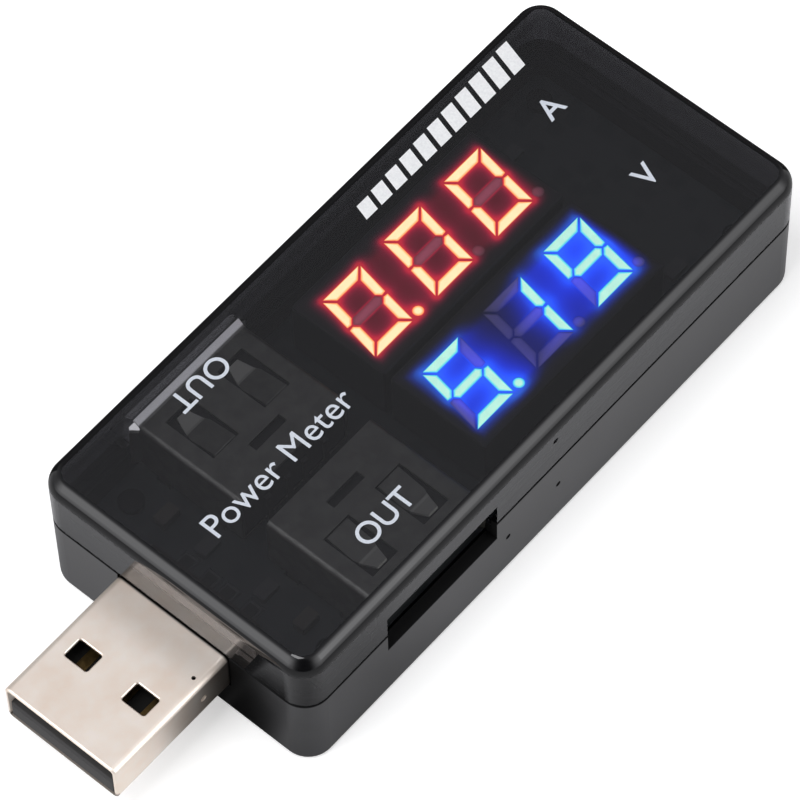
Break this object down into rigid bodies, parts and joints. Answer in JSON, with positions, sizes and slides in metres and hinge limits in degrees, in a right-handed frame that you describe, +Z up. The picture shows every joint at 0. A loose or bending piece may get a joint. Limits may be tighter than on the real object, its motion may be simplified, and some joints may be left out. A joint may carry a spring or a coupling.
{
  "type": "usb power meter",
  "caption": "Inline USB power meter: smoked clear upper case over a dark lower case, a USB-A plug at one end, a USB-A socket in each long side and LED readouts for amps and volts under the top.",
  "frame": {"origin": "centre of the flat underside", "axes": "+X along the length away from the plug, +Y across towards the top of the digits, +Z up out of the readouts"},
  "size_m": [0.0765, 0.029, 0.0153],
  "materials": {
    "smoked_clear_plastic": "polished, smoke tinted, see-through",
    "dark_case_plastic": "fine satin",
    "board_black": "black solder mask",
    "plug_steel": "satin nickel plate",
    "grey_insulator": "moulded",
    "gilt_contact": "gold flash",
    "socket_steel": "nickel plate",
    "black_insulator": "moulded",
    "tinned_metal": "tin plate",
    "spring_steel": "nickel plate",
    "red_display_black": "moulded, satin face",
    "blue_display_black": "moulded, satin face",
    "red_lit": "glowing",
    "red_unlit": "milky resin",
    "blue_lit": "glowing",
    "blue_unlit": "milky resin",
    "chip_black": "moulded epoxy",
    "capacitor_ochre": "moulded",
    "capacitor_tan": "fired",
    "solder": "bright"
  },
  "bodies": {
    "meter": {"upper_shell": "smoked_clear_plastic", "lower_shell": "dark_case_plastic", "circuit_board": "board_black", "plug_shell": "plug_steel", "plug_insulator": "grey_insulator", "plug_contacts": "gilt_contact", "left_port_shell": "socket_steel", "right_port_shell": "socket_steel", "left_port_tongue": "black_insulator", "right_port_tongue": "black_insulator", "left_port_tails": "tinned_metal", "right_port_tails": "tinned_metal", "red_display_body": "red_display_black", "red_lit_segments": "red_lit", "red_unlit_segments": "red_unlit", "red_display_pins": "tinned_metal", "blue_display_body": "blue_display_black", "blue_lit_segments": "blue_lit", "blue_unlit_segments": "blue_unlit", "blue_display_pins": "tinned_metal", "controller_chip": "chip_black", "controller_legs": "tinned_metal", "voltage_regulator": "chip_black", "regulator_legs": "tinned_metal", "shunt_resistor": "chip_black", "input_capacitor": "capacitor_ochre", "ceramic_capacitors": "capacitor_tan", "chip_resistors": "chip_black", "solder_joints": "solder"},
    "left_contact_leaves": {"left_port_contacts": "gilt_contact"},
    "right_contact_leaves": {"right_port_contacts": "gilt_contact"},
    "left_latches": {"left_port_latch_springs": "spring_steel"},
    "right_latches": {"right_port_latch_springs": "spring_steel"}
  },
  "joints": [
    {"name": "left_contact_flex", "type": "hinge", "parent": "meter", "child": "left_contact_leaves", "pos_m": [-0.015, 0.0029, 0.0096], "axis": [1, 0, 0], "range_deg": [0, 5.5], "stiffness_Nm_per_rad": 0.0002},
    {"name": "right_contact_flex", "type": "hinge", "parent": "meter", "child": "right_contact_leaves", "pos_m": [-0.015, -0.0029, 0.0096], "axis": [-1, 0, 0], "range_deg": [0, 5.5], "stiffness_Nm_per_rad": 0.0002},
    {"name": "left_latch_flex", "type": "hinge", "parent": "meter", "child": "left_latches", "pos_m": [-0.015, 0.0061, 0.01195], "axis": [1, 0, 0], "range_deg": [0, 4], "stiffness_Nm_per_rad": 0.0002},
    {"name": "right_latch_flex", "type": "hinge", "parent": "meter", "child": "right_latches", "pos_m": [-0.015, -0.0061, 0.01195], "axis": [-1, 0, 0], "range_deg": [0, 4], "stiffness_Nm_per_rad": 0.0002}
  ]
}
